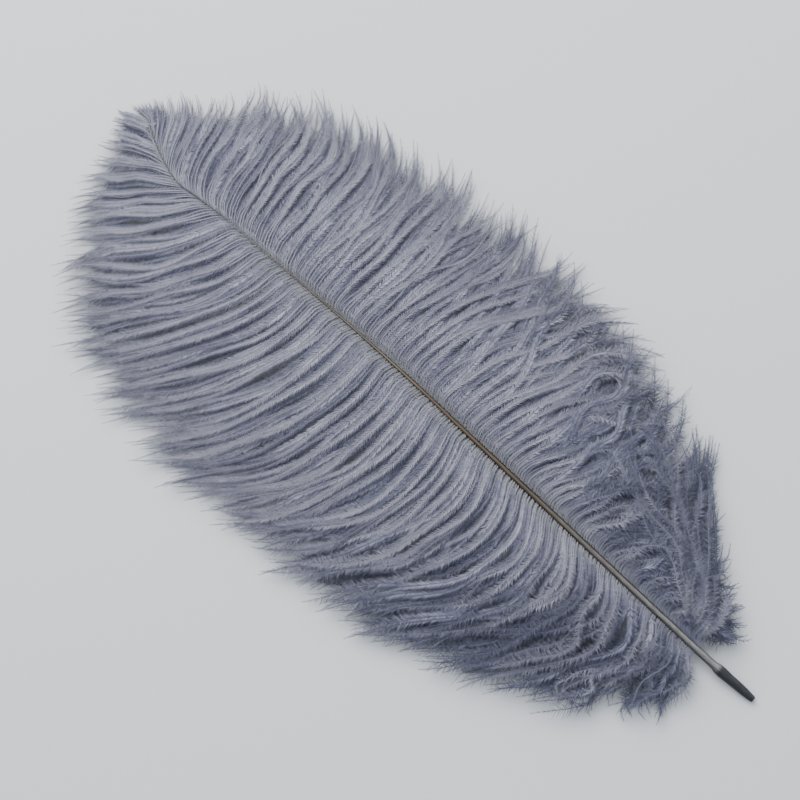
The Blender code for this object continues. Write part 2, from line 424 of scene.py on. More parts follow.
def shaft_surface(station, turn):
    """Places on the shaft at angles turn around it, counted from its +Y side over the top."""
    across, up = np.cos(turn), np.sin(turn)
    radius = shaft_radius(station)
    bare = ease((station - BARE_START) / BARE_RISE) * ease((SHAFT_END - station) / BARE_FADE)
    furrow = FURROW_DEPTH * bell((turn + math.pi / 2) / FURROW_WIDTH) * bare
    line = LINE_HEIGHT * bell((np.abs(across) - 1) / LINE_WIDTH) * bare
    crease = CREASE_DEPTH * bell((turn - CREASE_TURN) / CREASE_WIDTH) * bare
    torn = sum(height * np.sin(waves * turn + start) for height, waves, start in SHEATH_TEARS)
    sheath = SHEATH_THICKNESS * (1 - ease((station - SHEATH_END - torn) / SHEATH_EDGE))
    sheath *= ease((station - SHEATH_START) / SHEATH_RISE)
    folds = FOLD_HEIGHT * np.sin(FOLDS * turn + FOLD_TWIST * station)
    folds = folds * ease((station - FOLD_START) / FOLD_RISE) * (1 - bare)
    radius = radius * (1 - furrow + line - crease) + sheath + folds
    heading = shaft_heading(station)
    x = station - radius * across * np.sin(heading) + QUILL_TIP_X
    y = shaft_offset(station) + radius * across * np.cos(heading) + SHAFT_LINE_Y
    return np.stack((x, y, shaft_height(station) + radius * up), axis=1)


# Barbs

PATH_POINTS = 44
CROWDING = 0.25  # how much closer barbs stand at the quill
# Sizes of the groups that neighbouring barbs fall into: ridges near the shaft, locks further out,
# and tufts at the ends
RIDGES, LOCKS, TUFTS = (2, 2, 3, 3), (2, 2, 3, 4), (4, 5, 7, 8)
CREST_SHIFT = 0.2  # the crest of a ridge lies this share of its half width nearer to the quill
FREE_LENGTH = 0.08  # shorter barbs keep closer to the plan
DOWNY_END, DOWNY_FADE = 0.055, 0.10  # where the vanes stop being downy, at the shaft
DOWNY_SLANT = 0.14  # how much further on they do at the barbs' tips
WAVER, WEAVE = 0.0009, 0.0010  # sideways waves of single barbs and of ridges
CURL, FLOAT = 0.0022, 0.0015  # waves of down, sideways and up
TUFT_PARTING, BARB_PARTING = 0.004, 0.006  # how far tips part along the shaft
TUFT_RISE, BARB_RISE = 0.004, 0.003  # how far downy tufts and single tips stand up
UNEVEN_LIFT = 0.0007  # how far ridges differ in their bulge
DIVE = 0.0005  # up and down waves of ridges
STRAY_RISE = 0.0014
CLEARANCE = 0.001  # height below which barbs come to lie on the table


def group_runs(count, sizes, chance):
    """Numbers the groups that neighbours fall into: of sizes, and often one more near the quill."""
    larger = chance.random(count) < 1.1 - 3 * np.arange(count) / count
    return np.repeat(np.arange(count), chance.choice(sizes, size=count) + larger)[:count]


def centres(values, group):
    """The mean of each value's group."""
    return (np.bincount(group, values) / np.maximum(np.bincount(group), 1))[group]


def places_within(values, group):
    """Where each value lies among those of its group, from -1 to 1."""
    away = values - centres(values, group)
    widest = np.zeros(group.max() + 1)
    np.maximum.at(widest, group, np.abs(away))
    return away / np.maximum(widest, 1e-6)[group]


def nearness_to_tip(root):
    """How far barbs belong to the feather's tip, where they stand apart like a comb."""
    return ease((root - 0.25) / 0.12)


def downiness(sheaf, root, reach):
    """How downy barbs are: all of the lowest ones and the outer parts of those further on."""
    past = root - DOWNY_END - DOWNY_SLANT * reach
    return np.maximum(sheaf.fluff, 1 - ease(past / DOWNY_FADE))


def barb_paths(sheaf, plume, chance):
    """The barbs of a sheaf, gathered in ridges near the shaft and in other locks further out."""
    count = round(plume.barbs * sheaf.share)
    order = (np.arange(count) + 0.5 + chance.uniform(-0.25, 0.25, count)) / count
    span = sheaf.last - sheaf.first
    root = sheaf.first + span * order * (1 + CROWDING * order) / (1 + CROWDING)
    ridge, lock, tuft = (group_runs(count, sizes, chance) for sizes in (RIDGES, LOCKS, TUFTS))
    each = np.arange(count)
    stray = (chance.random(count) < plume.strays)[:, None]
    reach = np.linspace(0, 1, PATH_POINTS)[None, :]
    fluff = downiness(sheaf, root[:, None], reach)
    upper_part = nearness_to_tip(root)[:, None]

    def by(group, low, high):
        """A random number for each group, as a column with a row for each barb."""
        return chance.uniform(low, high, count)[group][:, None]

    def wave(group, low, high):
        """A wave along each barb, with low to high bends, alike within a group."""
        return np.sin(math.pi * (by(group, low, high) * reach + by(group, 0, 2)))

    # How the barbs draw together, first in ridges and later in locks, and their tips in tufts
    to_ridge, to_lock, to_tuft = (
        (centres(root, group) - root)[:, None] for group in (ridge, lock, tuft))
    tip, offset = (through(sheaf.plan, column, root / MM) * MM for column in (1, 2))
    freedom = np.minimum(np.hypot(tip - root, offset) / FREE_LENGTH, 1)[:, None]
    gather = plume.gather * sheaf.gather * ease((reach - 0.04) / 0.22)
    later = ease((reach - by(each, 0.3, 0.5)) / 0.35) * freedom
    later *= 0.6 - 0.35 * upper_part + 0.4 * fluff
    gathered = to_ridge * gather * (1 - later) + to_lock * gather * later
    tufting = (0.32 - 0.1 * upper_part + 0.33 * fluff + 0.25 * sheaf.fluff) * freedom
    begun = reach - 0.70 + 0.45 * fluff + 0.1 * sheaf.fluff
    tufting *= ease(begun / (0.30 + 0.2 * fluff))
    tufting *= np.where(stray, -1 + fluff, 1)

    # How they sway along the shaft and how their tips part
    wander = by(ridge, -1, 1) * wave(ridge, 0.8, 1.6)
    waver = by(each, -1, 1) * wave(each, 1.5, 3.5)
    dive = wave(ridge, 2.5, 5.0)
    weave = wave(ridge, 2.5, 5.0)
    sway = (sheaf.sway * wander + WAVER * waver + WEAVE * weave) * ease(reach / 0.5)
    sway = sway * (1 + 2.2 * fluff) * np.where(stray, 2.4 - 1.4 * fluff, 1) * sheaf.give
    parting = TUFT_PARTING * by(tuft, -1, 1) * ease((reach - 0.65) / 0.35)
    parting += BARB_PARTING * by(each, -1, 1) * ease((reach - 0.75) / 0.4)
    parting = parting * (1 - 0.5 * fluff) * sheaf.give
    station = root[:, None] + gathered + (sway + parting) * freedom**2 + to_tuft * tufting
    station = np.clip(station, sheaf.first - 0.002 * sheaf.give, sheaf.last)

    # How long they are and how they lie in plan
    ragged = downiness(sheaf, root, 0.7)[:, None] * sheaf.gather
    stretch = 0.96 - 0.05 * sheaf.lower + by(tuft, -0.03, 0.02) + by(ridge, -0.02, 0.01)
    stretch = stretch + 0.11 * by(each, 0, 1) ** 2 - 0.14 * ragged * by(each, 0, 1)
    plan = barb_plan(sheaf.plan, sheaf.side, station.ravel(), (reach * stretch).ravel())
    x, y = plan.reshape(2, count, PATH_POINTS)
    curl = CURL * fluff * wave(each, 0.8, 2.2) * ease(reach / 0.4)
    heading = np.arctan2(np.gradient(y, axis=1), np.gradient(x, axis=1))
    x, y = x - curl * np.sin(heading), y + curl * np.cos(heading)

    # How high they lie
    z = vane_height(sheaf.side, x, np.abs(y), LIFT + by(ridge, -UNEVEN_LIFT, UNEVEN_LIFT))
    within, among = places_within(root, ridge), places_within(root, lock)
    near, far = (
        1 - np.abs(place[:, None] + CREST_SHIFT) / (1 + CREST_SHIFT) for place in (within, among))
    crest = near * (1 - later) + far * later
    tufted = 1 - np.abs(places_within(root, tuft))[:, None]
    crest += (tufted - crest) * fluff
    loose = by(ridge, -0.0003, 0.0005) + by(each, -0.0003, 0.0003)
    loose = loose + by(ridge, -0.0015, 0.003) * fluff
    raised = plume.ridge_height * (1 + 0.6 * fluff) * crest - sheaf.depth
    raised = raised + loose + DIVE * dive + STRAY_RISE * stray
    z += raised * ease(reach / 0.25)
    z += by(each, 0, BARB_RISE) * ease((reach - 0.8) / 0.2)
    z += by(tuft, 0, TUFT_RISE) * fluff * ease(reach / 0.4)
    z += FLOAT * fluff * wave(each, 1.5, 4.0) * ease(reach / 0.4)
    paths = np.stack((x + QUILL_TIP_X, y + SHAFT_LINE_Y, z), axis=2)
    phase = by(ridge, 0, 1) + by(each, 0, 0.2)
    return Barbs(paths, root, within, crest, ridge, tuft, fluff, stray[:, 0], phase[:, 0])


def along_paths(paths, shares):
    """Points at shares of the length of each path, and the lengths; shares has one row a path."""
    steps = np.linalg.norm(np.diff(paths, axis=1), axis=2)
    run = np.concatenate((np.zeros((len(paths), 1)), np.cumsum(steps, axis=1)), axis=1)
    lengths = run[:, -1]
    points = np.empty(shares.shape + (3,))
    for i, path in enumerate(paths):
        at = shares[i] * lengths[i]
        for axis in range(3):
            points[i, :, axis] = np.interp(at, run[i], path[:, axis])
    return points, lengths


def frames_along(points):
    """Directions along, across (towards the feather's tip) and above each point of the paths."""
    along = np.gradient(points, axis=1)
    along /= np.maximum(np.linalg.norm(along, axis=2, keepdims=True), 1e-9)
    above = np.array((0.0, 0.0, 1.0)) - along * along[..., 2:3]
    above /= np.maximum(np.linalg.norm(above, axis=2, keepdims=True), 1e-9)
    return along, np.cross(along, above), above


def at_shares(values, owner, share):
    """Picks from values, given at each point of the paths, those at shares of their lengths."""
    return values[owner, np.round(share * (PATH_POINTS - 1)).astype(int)]


# Tones and painted shadow

DARKEST = -0.3  # lowest tone, where 1 is a crest in full light
COMB_REACH = 0.004  # how far from the shaft the barbs are pale and nearly bare
APART_REACH = 0.028  # how far from the shaft barbs near the feather's tip stand apart


def alternating(values):
    """Random values made to differ from their neighbours."""
    return np.clip(values - 0.4 * (np.roll(values, 1) + np.roll(values, -1)), -1, 1)


def barb_tones(sheaf, barbs, chance):
    """The tone of each barb, from its own, its ridge's and its tuft's."""
    by_ridge, by_tuft, by_barb = chance.uniform(-1, 1, (3, len(barbs.root)))
    varied = 0.18 * alternating(by_ridge)[barbs.ridge] + 0.24 * alternating(by_barb)
    tufted = 0.04 + (0.4 + 0.25 * sheaf.fluff) * downiness(sheaf, barbs.root, 0.5)
    varied += tufted * alternating(by_tuft)[barbs.tuft]
    return 0.56 - 0.1 * sheaf.fluff + varied * (0.4 if sheaf.lower else 1)


def shadow_on(sheaf, root, share):
    """Painted shadow: how much darker the lowest barbs are, and more so under the long down."""
    under_down = (sheaf.side == NARROW) * (sheaf.depth >= 0)
    under_down = under_down * ease((0.13 - root) / 0.03) * ease((share - 0.2) / 0.3)
    return 0.55 * under_down + 0.52 * ease((0.21 - root) / 0.1) * ease((share - 0.04) / 0.3)


# Stems of the barbs

STEM_RINGS = 13
STEM_CROWDING = 1.25  # above 1, the rings stand closer at the shaft


def grow_stems(sheaf, barbs, tone, plume):
    """The barbs' own stems, which thin out a little to their ends."""
    template, faces = stem_template()
    count = len(barbs.paths)
    spaced = np.linspace(0, 1, STEM_RINGS) ** STEM_CROWDING
    points, lengths = along_paths(barbs.paths, np.broadcast_to(spaced, (count, STEM_RINGS)))
    _, across, above = frames_along(points)
    ring = np.round(template[:, 2] * (STEM_RINGS - 1)).astype(int)
    share = np.broadcast_to(spaced[ring], (count, len(ring)))
    owner, root = np.arange(count), barbs.root[:, None]
    fluff, crest = (at_shares(own, owner[:, None], share) for own in (barbs.fluff, barbs.crest))
    nearing_tip = nearness_to_tip(root)
    distance = share * lengths[:, None]

    radius = plume.stem_radius * (1 + 0.3 * fluff) * (1 - 0.15 * share)
    radius *= 1 + 0.5 * nearing_tip * bell(distance / APART_REACH)
    radius *= 1 - 0.8 * (ring == STEM_RINGS - 1)
    places = points[:, ring]
    places += across[:, ring] * (radius * template[:, 0])[..., None]
    places += above[:, ring] * (radius * template[:, 1])[..., None]

    # Painted light and shade: lighter on the ridges' crests, darker where an upper layer covers
    # them, and darker in the painted shadow of shadow_on
    shade = tone[:, None] + 0.6 * (crest - 0.3) - 0.2 * fluff + 0.25 * nearing_tip
    shade = shade - 2 * sheaf.shade - 0.7 * shadow_on(sheaf, root, share)
    shade -= 0.8 * ease((share - 0.75) / 0.25)
    pale = bell(distance / COMB_REACH) * (1 - nearing_tip * sheaf.lower)
    return Fibres(
        places, faces, owner, along=share, sideways=np.zeros_like(share), outward=0.75 * fluff,
        tone=np.clip(shade, DARKEST, 1 - 0.45 * fluff), comb=(1 - 0.6 * fluff) * pale)


# Barbules

FEWEST_BARBULES = 4
# Zones of a barb: lengths, and the share of its own length that they are at most
START_ZONE, END_ZONE = (0.022, 0.25), (0.022, 0.35)  # where the barbules are shorter
COVER_EDGE, COVER_FADE = (0.015, 0.15), (0.03, 0.2)  # where an upper layer stops hiding it
BARE_ROOT, LOWER_START = 0.001, 0.003  # where barbules begin to lengthen, and lower ones have
OVERHANG = 0.0008  # how far barbules may reach past the barb's end
HAZE_START, HAZE_RISE = 0.05, 0.05  # distances from the shaft where barbules become looser
BUNCH_LAG = 0.6  # between the bunches on both sides of a barb, in radians
# Angles in degrees: between a barbule and its barb, and how far it hangs
SPREAD, SPREAD_OF_DOWN, SPREAD_OF_BUNCH = 38, 18, 10
LOOSE, LOOSE_IN_HAZE = 3, 24
TURN_BACK, TURN_FORWARD = 32, -16  # added near the shaft on the quill's side and on the other
TURN_REACH = 0.002
DROOP, DROOP_OF_FLANK, DROOP_OF_BUNCH = 15, 12, 8
DROOP_LOOSE, DROOP_LOOSE_OF_DOWN = 7, 8
HUMP, SINK = 0.025, 0.12  # height of a barbule's hump and sag of its end, as shares of its length
DRIFT_LENGTH = 0.03  # of the slow waves in tone along a barb


def most(zone, length):
    """The length of a zone, at most a share of the barb's length."""
    limit, share = zone
    return np.minimum(limit, share * length)


def barbule_spots(sheaf, barbs, plume, chance):
    """Where the barbules of a sheaf grow."""
    paths = barbs.paths
    lengths = np.linalg.norm(np.diff(paths, axis=1), axis=2).sum(axis=1)
    counts = (lengths / (plume.barbule_pitch * sheaf.spacing)).astype(int)
    counts = np.maximum(counts, FEWEST_BARBULES)
    slots = np.arange(counts.max())[None, :]
    used = slots < counts[:, None]
    shifted = slots + chance.uniform(0.2, 0.8, used.shape)
    shares = np.minimum(shifted / counts[:, None], 1)
    points, _ = along_paths(paths, shares)
    owner = np.broadcast_to(np.arange(len(paths))[:, None], used.shape)[used]
    length, share = lengths[owner], shares[used]
    distance, remaining = share * length, (1 - share) * length
    fluff, crest = (at_shares(own, owner, share) for own in (barbs.fluff, barbs.crest))
    covered = ease((remaining - most(COVER_EDGE, length)) / most(COVER_FADE, length)) * sheaf.lower
    fluff = fluff * (1 - covered)
    hazy = np.maximum(fluff, 0.25 * ease((distance - HAZE_START) / HAZE_RISE)) * (1 - covered)
    phase = 2 * math.pi * (distance / plume.bunch_pitch + barbs.phase[owner])
    return Spots(
        *(values[used][:, None, :] for values in (points, *frames_along(points))),
        owner, length, share, distance, remaining, barbs.root[owner], barbs.within[owner],
        barbs.stray[owner], crest, phase, covered, fluff, hazy)


def barbule_lengths(sheaf, plume, spots, apart):
    """Lengths of barbules before chance changes them, where apart is how far barbs stand apart."""
    full = 1 + 0.15 * sheaf.lower + 0.4 * spots.hazy + 0.05 * spots.fluff - 0.35 * sheaf.fluff
    full = plume.barbule_length * full * (1 - 0.45 * apart) * np.where(spots.stray, 0.5, 1)
    first_ones = 0.28 + 0.5 * sheaf.lower * ease(spots.distance / LOWER_START)
    grown = ease((spots.distance - BARE_ROOT) / most(START_ZONE, spots.length))
    full *= first_ones + (1 - first_ones) * grown
    full *= 0.25 + 0.75 * ease(spots.remaining / most(END_ZONE, spots.length))
    return np.minimum(np.minimum(full, OVERHANG + spots.remaining), 0.25 * spots.length)


def grow_barbules(sheaf, barbs, tone, plume, chance):
    """The barbules of all barbs, first those to one side and then to the other."""
    template, faces = barbule_template()
    spots = barbule_spots(sheaf, barbs, plume, chance)
    fluff, hazy, stray, distance = spots.fluff, spots.hazy, spots.stray, spots.distance
    nearing_tip = nearness_to_tip(spots.root)
    apart = (not sheaf.lower) * nearing_tip * bell(distance / APART_REACH)
    slim = 1 - ease(spots.remaining / most(END_ZONE, spots.length))
    full = barbule_lengths(sheaf, plume, spots, apart)
    bunching = (1 - 0.8 * fluff) / sheaf.spacing**2
    broad = 1 + (sheaf.spacing**1.2 - 1) * spots.covered
    drift = 0.15 * np.sin(2 * math.pi * (distance / DRIFT_LENGTH + tone[spots.owner] * 7))
    comb = (1 - 0.85 * ease((spots.root - 0.29) / 0.10)) * bell(distance / COMB_REACH)
    comb = (1 - 0.8 * fluff) * comb
    rows, corners = len(spots.owner), len(template)

    def chances(low=-1, high=1):
        return chance.uniform(low, high, rows)

    def at_corners(values):
        return np.broadcast_to(values[:, None], (rows, corners))

    both = []
    for hand in (-1, 1):
        flank = hand * sheaf.side * spots.within
        bunch = bunching * np.sin(spots.phase + hand * BUNCH_LAG)
        size = full * (1 - 0.15 * hazy + (0.2 + 0.3 * hazy) * chances())
        loose = (LOOSE + LOOSE_IN_HAZE * hazy) * chances()
        turned = TURN_BACK if hand * sheaf.side < 0 else TURN_FORWARD
        spread = SPREAD + SPREAD_OF_DOWN * fluff + turned * bell(distance / TURN_REACH)
        spread = spread + SPREAD_OF_BUNCH * bunch + loose
        forward = np.radians(spread * (1 - 0.65 * slim))[:, None, None]
        droop = DROOP + DROOP_OF_FLANK * flank + DROOP_OF_BUNCH * np.cos(spots.phase)
        droop += (DROOP_LOOSE + DROOP_LOOSE_OF_DOWN * fluff) * chances()
        droop = np.radians(droop)[:, None, None]
        out = hand * np.cos(droop) * spots.across - np.sin(droop) * spots.above
        heading = np.cos(forward) * spots.along + np.sin(forward) * out
        width = plume.barbule_width * broad * (0.5 + 0.5 * size / plume.barbule_length)
        width = width * (1 - 0.55 * hazy * (1 - slim)) * np.where(stray, 0.6, 1)
        places = spots.point + spots.along * (template[:, 0] * width[:, None])[..., None]
        places += heading * (template[:, 1] * size[:, None])[..., None]
        places += spots.above * (HUMP * template[:, 2] * size[:, None])[..., None]
        places[..., 2] -= template[:, 1] ** 2 * SINK * size[:, None]

        # Painted light and shade: darker where an upper layer covers them, lighter on the ridges'
        # crests and darker at their feet and outer flanks, lighter and darker by turns with the
        # bunches, darker in the painted shadow of shadow_on, and darker in the gaps where barbs
        # stand apart near the feather's tip
        shade = tone[spots.owner] - sheaf.shade * spots.covered
        shade += (1.2 + 0.1 * nearing_tip - 0.45 * fluff) * (spots.crest - 0.5)
        shade = shade + 0.4 * bunching * np.cos(spots.phase) - 0.15 * np.maximum(flank, 0)
        shade = shade - shadow_on(sheaf, spots.root, spots.share) - 0.5 * apart - 0.32 * slim
        shade = shade - (0.08 - 0.16 * sheaf.fluff) * fluff - 0.3 * fluff * stray
        shade = shade + drift + chances(-0.18, 0.18)
        both.append(Fibres(
            places, faces if hand < 0 else faces[:, ::-1], spots.owner,
            along=at_corners(spots.share),
            sideways=np.broadcast_to(0.48 * hand * template[:, 1], (rows, corners)),
            outward=(1 - 0.25 * fluff[:, None]) * template[:, 1],
            tone=at_corners(np.clip(shade, DARKEST, 1 - 0.25 * fluff)), comb=at_corners(comb)))
    return both


def part_of_sheaf(grown, first, last):
    """The barbs numbered first up to last as flat arrays, with one strip of the UV map a barb."""
    places, triangles, uvs = [], [], []
    values = {name: [] for name in ATTRIBUTES}
    offset = 0
    for fibres in grown:
        mine = (fibres.owner >= first) & (fibres.owner < last)
        own = fibres.places[mine]
        rows, corners = own.shape[:2]
        places.append(own.reshape(-1, 3))
        starts = (np.arange(rows) * corners)[:, None, None] + offset
        triangles.append((fibres.faces[None] + starts).reshape(-1, 3))
        for name in ATTRIBUTES:
            values[name].append(getattr(fibres, name)[mine].ravel())
        sideways = (fibres.owner[mine] - first)[:, None] + 0.5 + fibres.sideways[mine]
        strip = sideways.ravel() / (last - first)
        uvs.append(np.stack((strip, fibres.along[mine].ravel()), axis=1))
        offset += rows * corners
    places = rest_on_table(np.concatenate(places))
    values = {name: np.concatenate(parts) for name, parts in values.items()}
    return places, np.concatenate(triangles), values, np.concatenate(uvs)


def rest_on_table(places):
    """Lifts what lies lower than the clearance, so that nothing reaches into the table."""
    low = np.minimum(places[:, 2], CLEARANCE)
    least, room = 0.2 * CLEARANCE, 0.8 * CLEARANCE
    places[:, 2] += least - low + room * np.exp((low - CLEARANCE) / room)
    return places


# Materials

def new_material(name):
    material = bpy.data.materials.new(name)
    material.use_nodes = True
    return material, material.node_tree, material.node_tree.nodes["Principled BSDF"]


def new_group(name, inputs, outputs):
    """A node group with sockets given as names and kinds, then its own inputs and outputs."""
    group = bpy.data.node_groups.new(name, "ShaderNodeTree")
    for in_out, sockets in (("INPUT", inputs), ("OUTPUT", outputs)):
        for label, kind in sockets:
            group.interface.new_socket(label, in_out=in_out, socket_type=f"NodeSocket{kind}")
    inside, outside = group.nodes.new("NodeGroupInput"), group.nodes.new("NodeGroupOutput")
    return group, inside.outputs, outside


def fill_inputs(tree, node, inputs):
    """Sets a node's inputs, by name or number, or links them where a socket is given."""
    for name, value in inputs.items():
        if isinstance(value, bpy.types.NodeSocket):
            tree.links.new(value, node.inputs[name])
        else:
            node.inputs[name].default_value = value


def add_node(tree, kind, inputs, **settings):
    node = tree.nodes.new(f"ShaderNode{kind}")
    for name, value in settings.items():
        setattr(node, name, value)
    fill_inputs(tree, node, inputs)
    return node


def add_range(tree, value, low, high, start=0.0, end=1.0):
    """Runs from low to high as value does from start to end."""
    inputs = {"Value": value, "From Min": start, "From Max": end, "To Min": low, "To Max": high}
    return add_node(tree, "MapRange", inputs).outputs["Result"]


def add_math(tree, operation, *values, clamp=False):
    inputs = dict(enumerate(values))
    node = add_node(tree, "Math", inputs, operation=operation, use_clamp=clamp)
    return node.outputs["Value"]


def add_mix(tree, factor, first, second):
    """Mixes two colours."""
    inputs = {"Factor": factor, "A": first, "B": second}
    return add_node(tree, "Mix", inputs, data_type="RGBA").outputs["Result"]


def add_ramp(tree, value, stops):
    """A colour ramp through stops, each a position and a colour."""
    node = add_node(tree, "ValToRGB", {"Fac": value})
    elements = node.color_ramp.elements
    for element, (position, colour) in zip(elements, (stops[0], stops[-1])):
        element.position, element.color = position, (*colour, 1)
    for position, colour in stops[1:-1]:
        elements.new(position).color = (*colour, 1)
    return node.outputs["Color"]


def add_lightness(tree, colour, value):
    """Makes a colour lighter or darker."""
    return add_node(tree, "HueSaturation", {"Color": colour, "Value": value}).outputs["Color"]


def add_noise(tree, stretch, scale, detail):
    """Noise in the piece's own coordinates, drawn out along X by stretch."""
    where = add_node(tree, "TexCoord", {}).outputs["Object"]
    drawn = add_node(tree, "Mapping", {"Vector": where, "Scale": (1 / stretch, 1, 1)})
    inputs = {"Vector": drawn.outputs["Vector"], "Scale": scale, "Detail": detail}
    return add_node(tree, "TexNoise", inputs).outputs["Fac"]


def add_group(tree, group, attributes, inputs):
    """Places a group that is fed by inputs and by the piece's attributes of its sockets' names."""
    for name in attributes:
        reader = add_node(tree, "Attribute", {}, attribute_name=name.lower())
        inputs[name] = reader.outputs["Fac"]
    return add_node(tree, "Group", inputs, node_tree=group)


def fibre_dye_and_shade_group():
    """Colour of a dyed fibre with painted light and shade: of the crest, or shaded towards the
    valley at the barbules' ends and where the tone is low, lighter or darker by its tone, and pale
    if bare.
    """
    group, inside, outside = new_group(
        "Dyed fibre",
        (("Crest", "Color"), ("Valley", "Color"), ("Pale", "Color"),
         ("Outward", "Float"), ("Tone", "Float"), ("Comb", "Float")),
        (("Colour", "Color"),))
    # Painted shade: towards the barbules' ends and where the tone is low, the dye turns to the
    # darker valley shade colour
    outer = add_range(group, inside["Outward"], 0.0, 0.7, start=0.1)
    dark = add_math(group, "MULTIPLY_ADD", inside["Tone"], -0.42, 0.28)
    depth = add_math(group, "ADD", outer, dark, clamp=True)
    dye = add_mix(group, depth, inside["Crest"], inside["Valley"])
    # Painted light and shade: the tone makes the dye lighter or darker
    lit = add_lightness(group, dye, add_range(group, inside["Tone"], 0.56, 1.25, start=DARKEST))
    colour = add_mix(group, inside["Comb"], lit, inside["Pale"])
    fill_inputs(group, outside, {"Colour": colour})
    return group


def barb_material(plume):
    material, tree, surface = new_material("dyed barbs")
    fibre = add_group(tree, fibre_dye_and_shade_group(), ("Outward", "Tone", "Comb"), {
        "Crest": (*plume.crest_colour, 1), "Valley": (*plume.valley_shade_colour, 1),
        "Pale": (*plume.pale_colour, 1)})
    fill_inputs(tree, surface, {
        "Base Color": fibre.outputs["Colour"], "Roughness": 0.62, "Sheen Weight": 0.25,
        "Specular IOR Level": 0.3})
    return material


# Colours at shares of the shaft: the dark quill, grey, golden in the middle and pale at the end
SHAFT_COLOURS = (
    (0.055, (0.03, 0.031, 0.034)), (0.059, (0.21, 0.21, 0.205)), (0.1, (0.21, 0.205, 0.195)),
    (0.16, (0.16, 0.155, 0.146)), (0.25, (0.13, 0.118, 0.104)), (0.36, (0.088, 0.07, 0.051)),
    (0.46, (0.105, 0.077, 0.047)), (0.58, (0.125, 0.098, 0.066)), (0.72, (0.13, 0.115, 0.085)),
    (0.86, (0.25, 0.25, 0.26)), (1.0, (0.3, 0.3, 0.33)),
)
# Painted light across the shaft, from its -Y side to its +Y side: a painted highlight near the -Y
# side, painted shade towards the +Y side, and darker at both edges
SHAFT_PAINTED_LIGHT = (
    (0.0, 0.25), (0.1, 0.45), (0.22, 1.0), (0.34, 1.0), (0.55, 0.74), (0.76, 0.4), (0.9, 0.22),
    (1.0, 0.2),
)
TEAR = 0.006  # how far streaks shift the colours along the shaft


def keratin_and_painted_light_group():
    """Colour, roughness and relief of the shaft, with streaks along it and painted light and shade
    across it.
    """
    group, inside, outside = new_group(
        "Keratin", [(name, "Float") for name in ("Station", "Side", "Streak", "Mottle")],
        (("Colour", "Color"), ("Roughness", "Float"), ("Height", "Float")))
    torn = add_math(group, "MULTIPLY_ADD", inside["Streak"], TEAR, inside["Station"])
    lengthwise = add_ramp(group, torn, SHAFT_COLOURS)
    streaks = add_range(group, inside["Streak"], 0.65, 1.6, start=0.25, end=0.75)
    # Painted highlight and shade across the shaft, by its side
    place = add_range(group, inside["Side"], 0.0, 1.0, start=-1.0)
    sideways = add_ramp(group, place, [(at, (grey,) * 3) for at, grey in SHAFT_PAINTED_LIGHT])
    light = add_math(group, "MULTIPLY", streaks, sideways)
    fill_inputs(group, outside, {
        "Colour": add_lightness(group, lengthwise, light),
        "Roughness": add_range(group, inside["Mottle"], 0.26, 0.48),
        "Height": add_math(group, "MULTIPLY_ADD", inside["Mottle"], 0.4, inside["Streak"])})
    return group


def shaft_material():
    material, tree, surface = new_material("shaft keratin")
    keratin = add_group(tree, keratin_and_painted_light_group(), ("Station", "Side"), {
        "Streak": add_noise(tree, 25, 1600, 2), "Mottle": add_noise(tree, 2, 500, 4)})
    relief = {"Height": keratin.outputs["Height"], "Strength": 0.25, "Distance": 0.0003}
    fill_inputs(tree, surface, {
        "Base Color": keratin.outputs["Colour"], "Roughness": keratin.outputs["Roughness"],
        "Normal": add_node(tree, "Bump", relief).outputs["Normal"], "Specular IOR Level": 0.3})
    return material


def floor_material(plume):
    material, tree, surface = new_material("plain table")
    fill_inputs(tree, surface, {
        "Base Color": (*plume.floor_colour, 1), "Roughness": 0.9, "Specular IOR Level": 0.2})
    return material


# Add-on

class PlumeSettings(PropertyGroup):
    """Sizes and colours of the plume"""
    barbs: IntProperty(
        name="Barbs", description="Barbs in the upper layer of each vane", default=240, min=20)
    seed: IntProperty(name="Seed", description="Changes how the barbs fall", default=5)
    gather: FloatProperty(
        name="Gather", description="How far barbs draw together in ridges", default=0.5)
    strays: FloatProperty(
        name="Strays", description="Share of barbs that lie across the others", default=0.022)
    ridge_height: FloatProperty(
        name="Ridge height", description="Height of ridges", default=0.0019, unit="LENGTH")
    stem_radius: FloatProperty(
        name="Stem radius", description="Radius of a barb", default=0.00019, unit="LENGTH")
    barbule_pitch: FloatProperty(
        name="Barbule pitch", description="Between barbules", default=0.00062, unit="LENGTH")
    bunch_pitch: FloatProperty(
        name="Bunch pitch", description="Between their bunches", default=0.00135, unit="LENGTH")
    barbule_length: FloatProperty(
        name="Barbule length", description="Longest barbules", default=0.0042, unit="LENGTH")
    barbule_width: FloatProperty(
        name="Barbule width", description="Width at the root", default=0.00062, unit="LENGTH")
    # The crest colour is the dye as lit on the crests, and the valley colour the same dye darkened
    # with painted shade
    crest_colour: FloatVectorProperty(
        name="Crest", description="Dye along the barbs", subtype="COLOR",
        default=(0.325, 0.32, 0.375))
    # Painted shade colour of the valleys and the barbules' ends
    valley_shade_colour: FloatVectorProperty(
        name="Valley", description="Dye at the ends of the barbules", subtype="COLOR",
        default=(0.095, 0.112, 0.265))
    pale_colour: FloatVectorProperty(
        name="Pale", description="Barbs beside the shaft", subtype="COLOR",
        default=(0.27, 0.27, 0.295))
    floor_colour: FloatVectorProperty(
        name="Table", description="Colour of the table", subtype="COLOR",
        default=(0.70, 0.715, 0.73))


